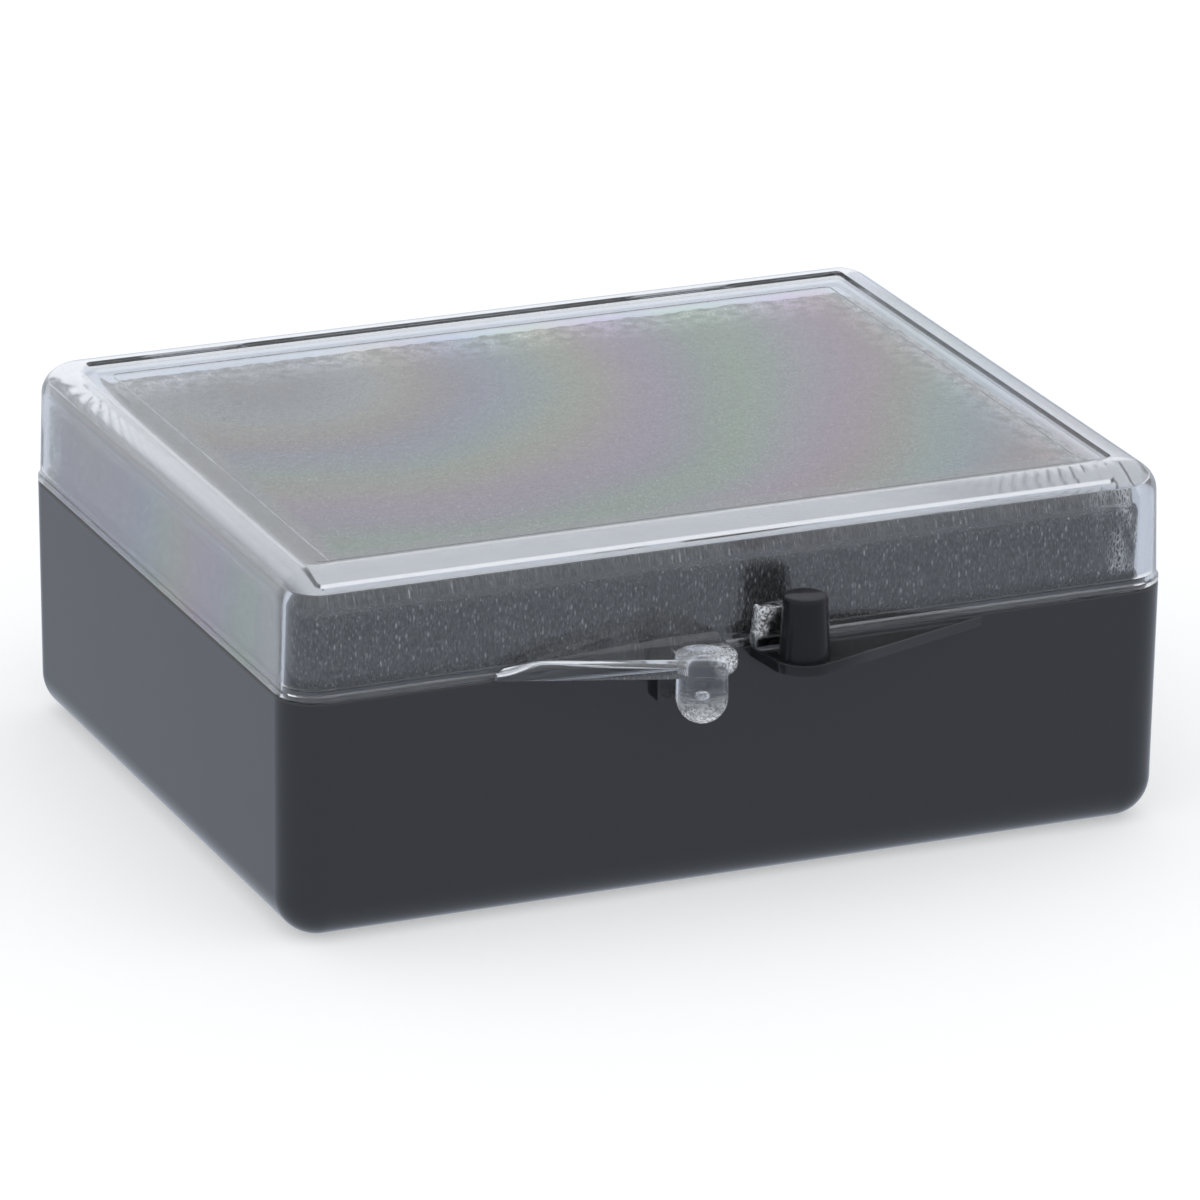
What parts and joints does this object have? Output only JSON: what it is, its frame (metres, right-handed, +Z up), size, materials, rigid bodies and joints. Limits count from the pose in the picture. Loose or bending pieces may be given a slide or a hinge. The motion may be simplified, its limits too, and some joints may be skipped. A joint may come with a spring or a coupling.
{
  "type": "hinged crown and bridge box",
  "caption": "Small hinged plastic box with an opaque black tray, a clear lid, foam pads inside and a two-post friction latch at the front.",
  "frame": {"origin": "centre of the tray's flat underside", "axes": "+X to the right along the front, +Y towards the hinges at the back, +Z up"},
  "size_m": [0.07, 0.0654, 0.0281],
  "materials": {
    "tray_plastic": "glossy moulded black polystyrene",
    "clear_plastic": "clear moulded polystyrene",
    "foam": "charcoal open-cell foam"
  },
  "bodies": {
    "base": {"base_tray": "tray_plastic", "base_foam": "foam"},
    "lid": {"clear_lid": "clear_plastic", "lid_foam": "foam"}
  },
  "joints": [
    {"name": "lid_hinge", "type": "hinge", "parent": "base", "child": "lid", "pos_m": [0, 0.0301, 0.0186], "axis": [-1, 0, 0], "range_deg": [0, 180]}
  ]
}
